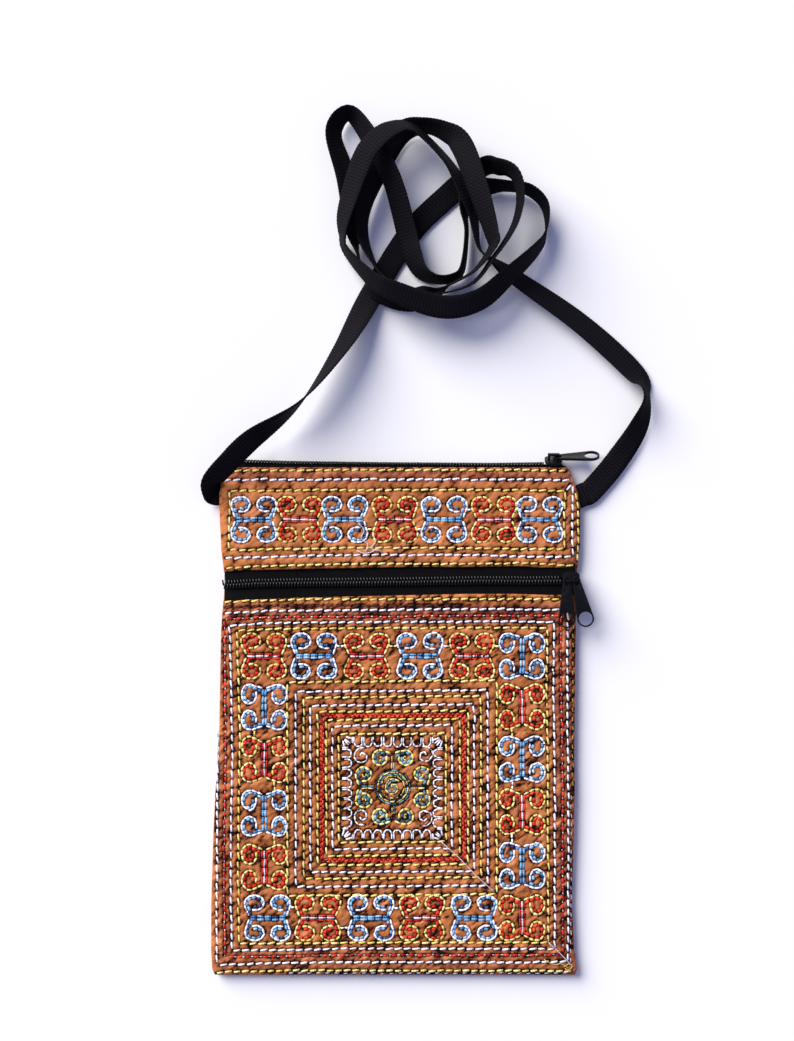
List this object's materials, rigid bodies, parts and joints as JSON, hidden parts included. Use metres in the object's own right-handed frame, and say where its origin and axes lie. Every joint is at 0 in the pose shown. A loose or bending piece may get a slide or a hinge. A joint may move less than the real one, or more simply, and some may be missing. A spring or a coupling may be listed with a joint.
{
  "type": "embroidered crossbody bag",
  "caption": "Flat rectangular cloth crossbody pouch with stitched spiral motifs in bordered panels, a zip along the top edge, a zip pocket across the front and a long ribbon strap.",
  "frame": {"origin": "on the back face, on the middle line of the cloth, where the bag rests", "axes": "+X to the wearer's right across the front, +Y from the bottom edge to the top zip, +Z out of the front"},
  "size_m": [0.1885, 0.3633, 0.0221],
  "materials": {
    "front_cloth": "copper brown cotton, hand stitched",
    "back_cloth": "plain copper brown cotton",
    "zip_tape": "black woven tape",
    "zip_coil": "black nylon coil",
    "zip_metal": "black enamelled metal",
    "strap_ribbon": "black ribbed ribbon"
  },
  "bodies": {
    "bag": {"back_panel": "back_cloth", "upper_front_panel": "front_cloth", "lower_front_panel": "front_cloth", "front_zip_upper_tape": "zip_tape", "front_zip_lower_tape": "zip_tape", "front_zip_chain": "zip_coil", "front_zip_slider": "zip_metal", "top_zip_front_tape": "zip_tape", "top_zip_back_tape": "zip_tape", "top_zip_chain": "zip_coil", "top_zip_slider": "zip_metal", "strap": "strap_ribbon"},
    "front_pull_left": {"front_zip_pull_left": "zip_metal"},
    "front_pull_right": {"front_zip_pull_right": "zip_metal"},
    "top_pull": {"top_zip_pull": "zip_metal"}
  },
  "joints": [
    {"name": "front_pull_left_swing", "type": "hinge", "parent": "bag", "child": "front_pull_left", "pos_m": [0.0714, 0.05774, 0.0075], "axis": [0, 0, -1], "range_deg": [0, 170]},
    {"name": "front_pull_right_swing", "type": "hinge", "parent": "bag", "child": "front_pull_right", "pos_m": [0.0752, 0.05774, 0.0075], "axis": [0, 0, 1], "range_deg": [0, 150]},
    {"name": "top_pull_flip", "type": "hinge", "parent": "bag", "child": "top_pull", "pos_m": [0.0662, 0.10914, 0.00423], "axis": [0, -0.515, 0.8572], "range_deg": [0, 170]}
  ]
}
